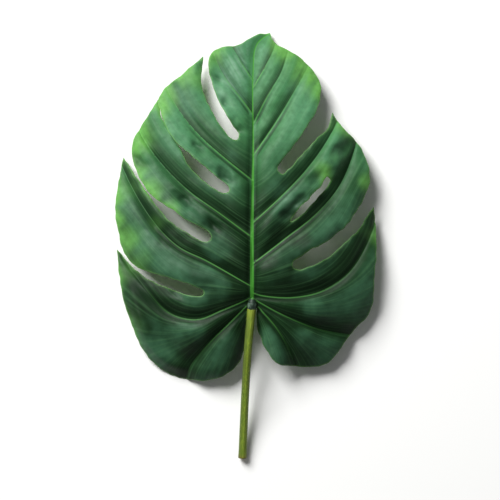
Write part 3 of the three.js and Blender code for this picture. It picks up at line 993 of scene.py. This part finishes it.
def upper_green(tree, cloud, mottle, ribs):
    """Deep green, yellower towards the margins, under the veins' lines; painted lighter towards the
    tip, with painted shade low in each swell and in the folds and dents and a painted sheen on the
    crests.
    """
    midrib_distance, midrib_along, vein_distance, vein_fade = painted(
        tree, "midrib_distance", "midrib_along", "vein_distance", "vein_fade")
    fold_shade, sheen_paint, share, rim_distance, ripe, towards_tip = painted(
        tree, "fold_shade", "sheen_paint", "share", "rim_distance", "ripe", "towards_tip")
    tip_lit_green = add(tree, "ShaderNodeMix", {0: cloud, 6: rgb("33693d"), 7: rgb("488453")}, **COLOURS)
    # Painted sheen: grey-green highlights where the sheen field is strong, broken up by the cloud
    # noise.
    sheen_cover = add(tree, "ShaderNodeMath", {0: sheen_paint, 1: cloud}, operation="MULTIPLY")
    green = coats(tree, rgb("0b260e"), [
        (cloud, 0.3, 0.8, 1.0, rgb("133716")),
        # Painted light and shade: lighter towards the tip, darker towards the base.
        (towards_tip, 0.3, 0.98, 1.0, tip_lit_green),
        # Painted shade: darker towards the vein below, over the lower part of each swell.
        (share, 0.4, 0.98, 0.78, rgb("08200a")),
        # Painted sheen, in two strengths: grey-green highlights.
        (sheen_cover, 0.22, 0.62, 0.36, rgb("528766")),
        (sheen_cover, 0.55, 1.3, 0.5, rgb("86ad93")),
        (ripe, 0.08, 0.85, 1.0, rgb("5e9a48")),
        (ribs, 0.45, 0.7, 0.16, rgb("5f945f")),
        (mottle, 0.35, 0.75, 0.22, rgb("112e14")),
        # Painted shade in the folds and dents.
        (fold_shade, 0.15, 0.9, 0.65, rgb("071d08")),
        (vein_distance, 0.85, 0.25, vein_fade, rgb("539643")),
    ])
    # The midrib's light line narrows from the base to the tip.
    midrib_width = add(tree, "ShaderNodeMapRange", {
        0: midrib_along, 1: 0.0, 2: 0.8, 3: 1.9, 4: 0.65}, **SMOOTH)
    off_midrib = add(tree, "ShaderNodeMath", {0: midrib_distance, 1: midrib_width},
                     operation="DIVIDE")
    return coats(tree, green, [
        (off_midrib, 1.2, 0.6, 0.85, rgb("408a2c")),
        (rim_distance, 1.0, 0.2, 0.3, rgb("74a556")),
    ])


def underside_green(tree, cloud):
    """Paler than the upper face, with light ribs and no wax."""
    vein_distance, midrib_distance = painted(tree, "vein_distance", "midrib_distance")
    return coats(tree, rgb("6f9560"), [
        (cloud, 0.3, 0.7, 1.0, rgb("86a874")),
        (vein_distance, 2.2, 0.8, 0.8, rgb("a3bd85")),
        (midrib_distance, 3.5, 1.6, 1.0, rgb("a9c283")),
    ])


def waxy_blade_painted_light():
    """Leaf skin grown under a thin dull wax: deep green that yellows to the margins and is painted
    lighter towards the tip, fine side ribs, thin light veins, painted shade in the folds, the dents
    and low in each swell, and a painted grey sheen on the crests. The eye gets broad soft
    highlights, never sharp ones."""
    material, tree = new_material("waxy_blade_painted_light")
    place = add(tree, "ShaderNodeTexCoord", out="Object")
    cloud = add(tree, "ShaderNodeTexNoise", {
        "Vector": place, "Scale": per_metre(35.714), "Detail": 3})
    mottle = add(tree, "ShaderNodeTexNoise", {
        "Vector": place, "Scale": per_metre(4.762), "Detail": 4})
    ribs = side_ribs(tree)
    underside, = painted(tree, "underside")
    colour = coats(tree, upper_green(tree, cloud, mottle, ribs), [
        (underside, 0.35, 0.8, 1.0, underside_green(tree, cloud)),
    ])
    shine = add(tree, "ShaderNodeMapRange", {0: mottle, 1: 0.3, 2: 0.7, 3: 0.5, 4: 0.6})
    roughness = add(tree, "ShaderNodeMix", {0: underside, 2: shine, 3: 0.65})
    pits = add(tree, "ShaderNodeMath", {0: mottle, 1: 0.25}, operation="MULTIPLY")
    relief = add(tree, "ShaderNodeMath", {0: ribs, 1: 0.6, 2: pits}, operation="MULTIPLY_ADD")
    bump = add(tree, "ShaderNodeBump", {"Height": relief, "Strength": 0.35,
                                        "Distance": 0.35 * MM})
    skin = add(tree, "ShaderNodeBsdfPrincipled", {
        "Base Color": colour, "Roughness": roughness, "Normal": bump, "IOR": SKIN_IOR,
        "Specular IOR Level": 0.22,
    })
    add(tree, "ShaderNodeOutputMaterial", {"Surface": skin})
    return material


def green_stalk():
    """Fresh stalk skin, smooth and faintly waxy: olive with lengthwise streaks, darker along one
    side as painted shade, and at the cut a pale fibrous face with a dry brown edge."""
    material, tree = new_material("green_stalk")
    along, around, cut = painted(tree, "along", "around", "cut")
    place = add(tree, "ShaderNodeTexCoord", out="Object")
    # Streaks about 0.7 mm wide, drawn out twenty times along the stalk.
    stretched = add(tree, "ShaderNodeMapping", {"Vector": place, "Scale": (1, 0.05, 1)})
    streaks = add(tree, "ShaderNodeTexNoise", {
        "Vector": stretched, "Scale": per_metre(0.66667), "Detail": 3})
    cloud = add(tree, "ShaderNodeTexNoise", {
        "Vector": place, "Scale": per_metre(16.667), "Detail": 2})
    # Real fibres are about 0.3 mm thick; these are coarser, so that they show.
    fibres = add(tree, "ShaderNodeTexVoronoi", {"Vector": place, "Scale": per_metre(0.71429)})
    cut_fibres = add(tree, "ShaderNodeMath", {0: cut, 1: fibres}, operation="MULTIPLY")
    turn = add(tree, "ShaderNodeMath", {0: around, 1: 2 * math.pi}, operation="MULTIPLY")
    side = add(tree, "ShaderNodeMath", {0: turn}, operation="COSINE")
    colour = coats(tree, rgb("566f1c"), [
        (streaks, 0.35, 0.7, 1.0, rgb("84992f")),
        (cloud, 0.3, 0.8, 0.7, rgb("68781f")),
        # Painted shade: darker along one side of the stalk.
        (side, 0.1, 0.9, 0.6, rgb("37481a")),
        (along, 0.1, 0.0, 0.5, rgb("8a9a30")),
        (along, 0.965, 1.0, 0.6, rgb("6b5a2a")),
        (cut, 0.4, 0.7, 1.0, rgb("b9b27c")),
        (cut_fibres, 0.25, 0.6, 0.6, rgb("8c7f4a")),
    ])
    roughness = add(tree, "ShaderNodeMix", {0: cut, 2: 0.5, 3: 0.8})
    bump = add(tree, "ShaderNodeBump", {"Height": streaks, "Strength": 0.25,
                                        "Distance": 0.2 * MM})
    skin = add(tree, "ShaderNodeBsdfPrincipled", {
        "Base Color": colour, "Roughness": roughness, "Normal": bump, "IOR": SKIN_IOR,
    })
    add(tree, "ShaderNodeOutputMaterial", {"Surface": skin})
    return material


def corky_knee_painted_light():
    """The knee's matt corky skin with 1 mm grain: near-black green, its own dark tone and painted
    shade of the hollow it sits in, with grey-green patches that are painted highlights.
    """
    material, tree = new_material("corky_knee_painted_light")
    along, = painted(tree, "along")
    place = add(tree, "ShaderNodeTexCoord", out="Object")
    grain = add(tree, "ShaderNodeTexNoise", {
        "Vector": place, "Scale": per_metre(1.1111), "Detail": 4})
    highlight_patches = add(tree, "ShaderNodeTexNoise", {
        "Vector": place, "Scale": per_metre(3.8462), "Detail": 2})
    # Near-black green: the knee's own dark tone and painted shade of the hollow it sits in.
    dark = add(tree, "ShaderNodeMix", {0: grain, 6: rgb("0f1f16"), 7: rgb("22382a")}, **COLOURS)
    colour = coats(tree, dark, [
        # Painted highlights: grey-green patches.
        (highlight_patches, 0.5, 0.68, 0.7, rgb("5d7562")),
        (along, 0.82, 0.99, 1.0, rgb("3c7a2e")),
    ])
    bump = add(tree, "ShaderNodeBump", {"Height": grain, "Strength": 0.4,
                                        "Distance": 0.25 * MM})
    skin = add(tree, "ShaderNodeBsdfPrincipled", {
        "Base Color": colour, "Roughness": 0.55, "Normal": bump, "IOR": SKIN_IOR,
    })
    add(tree, "ShaderNodeOutputMaterial", {"Surface": skin})
    return material


# ---------------------------------------------------------------------------
# The leaf, set in the frame
# ---------------------------------------------------------------------------

blade = build_blade()
stalk = build_stalk()
knee = build_knee()

# The low corner of the blade's plan goes to the low corner of its node, and the blade's lowest
# point to the surface. The stalk and knee already stand at their height over it.
node_low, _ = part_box("leaf_blade")
plan_low = blade_rim().min(0) * MM
shift = Vector((node_low.x - plan_low[0], node_low.y - plan_low[1], 0))
blade_low = min(v.co.z for v in blade.data.vertices)
blade.data.transform(Matrix.Translation(shift - Vector((0, 0, blade_low))))
for part in (stalk, knee):
    part.data.transform(Matrix.Translation(shift))

for part, material, node, slot in (
    (blade, waxy_blade_painted_light(), "leaf_blade", "blade"),
    (stalk, green_stalk(), "leaf_stalk", "stalk"),
    (knee, corky_knee_painted_light(), "stalk_knee", "knee"),
):
    part.data.materials.append(material)
    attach(part, "root")
    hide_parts(node)

# ---------------------------------------------------------------------------
# Floor, light and camera, in metres and watts
# ---------------------------------------------------------------------------

FLOOR_HALF_SIZE = 3.0
FLOOR_COLOUR = "f7f7f5"
WALL_COLOUR = "f7f8fa"
# The room is dim round the softbox, with a pale wall far behind the leaf.
ROOM_LIGHT = 0.16
WALL_LIGHT = 0.85
SOFTBOX_PLACE = (-2.0, 2.7, 2.7)
SOFTBOX_AIM = (0, 0, 0.02)
SOFTBOX_SIZE = 2.2
SOFTBOX_POWER = 330
# The camera looks straight down on the leaf.
CAMERA_PLACE = (0.004, -0.004, 1.98)
CAMERA_LENS_MM = 150
CAMERA_SENSOR_MM = 36


def build_floor():
    reach = FLOOR_HALF_SIZE
    corners = [(-reach, -reach, 0), (reach, -reach, 0), (reach, reach, 0), (-reach, reach, 0)]
    floor = new_mesh_object("floor", corners, [(0, 1, 2, 3)])
    material, tree = new_material("pale_matt_paint")
    matt = add(tree, "ShaderNodeBsdfPrincipled", {
        "Base Color": rgb(FLOOR_COLOUR), "Roughness": 0.9,
    })
    add(tree, "ShaderNodeOutputMaterial", {"Surface": matt})
    floor.data.materials.append(material)


def build_softbox():
    lamp = bpy.data.lights.new("key_softbox", "AREA")
    lamp.shape = "SQUARE"
    lamp.size = SOFTBOX_SIZE
    lamp.energy = SOFTBOX_POWER
    box = bpy.data.objects.new("key_softbox", lamp)
    box.location = SOFTBOX_PLACE
    towards = Vector(SOFTBOX_AIM) - box.location
    box.rotation_euler = towards.to_track_quat("-Z", "Y").to_euler()
    bpy.context.collection.objects.link(box)


def build_room():
    world = bpy.data.worlds.new("studio")
    bpy.context.scene.world = world
    world.use_nodes = True
    tree = world.node_tree
    wall = tree.nodes["Background"]
    wall.inputs["Color"].default_value = rgb(WALL_COLOUR)
    seen = add(tree, "ShaderNodeLightPath", out="Is Camera Ray")
    strength = add(tree, "ShaderNodeMapRange", {0: seen, 3: ROOM_LIGHT, 4: WALL_LIGHT})
    tree.links.new(strength, wall.inputs["Strength"])
    bpy.context.scene.view_settings.view_transform = "Standard"


def build_camera():
    lens = bpy.data.cameras.new("camera")
    lens.lens = CAMERA_LENS_MM
    lens.sensor_width = CAMERA_SENSOR_MM
    camera = bpy.data.objects.new("camera", lens)
    camera.location = CAMERA_PLACE
    camera.rotation_euler = (0, 0, 0)
    bpy.context.collection.objects.link(camera)
    bpy.context.scene.camera = camera


build_floor()
build_softbox()
build_room()
build_camera()
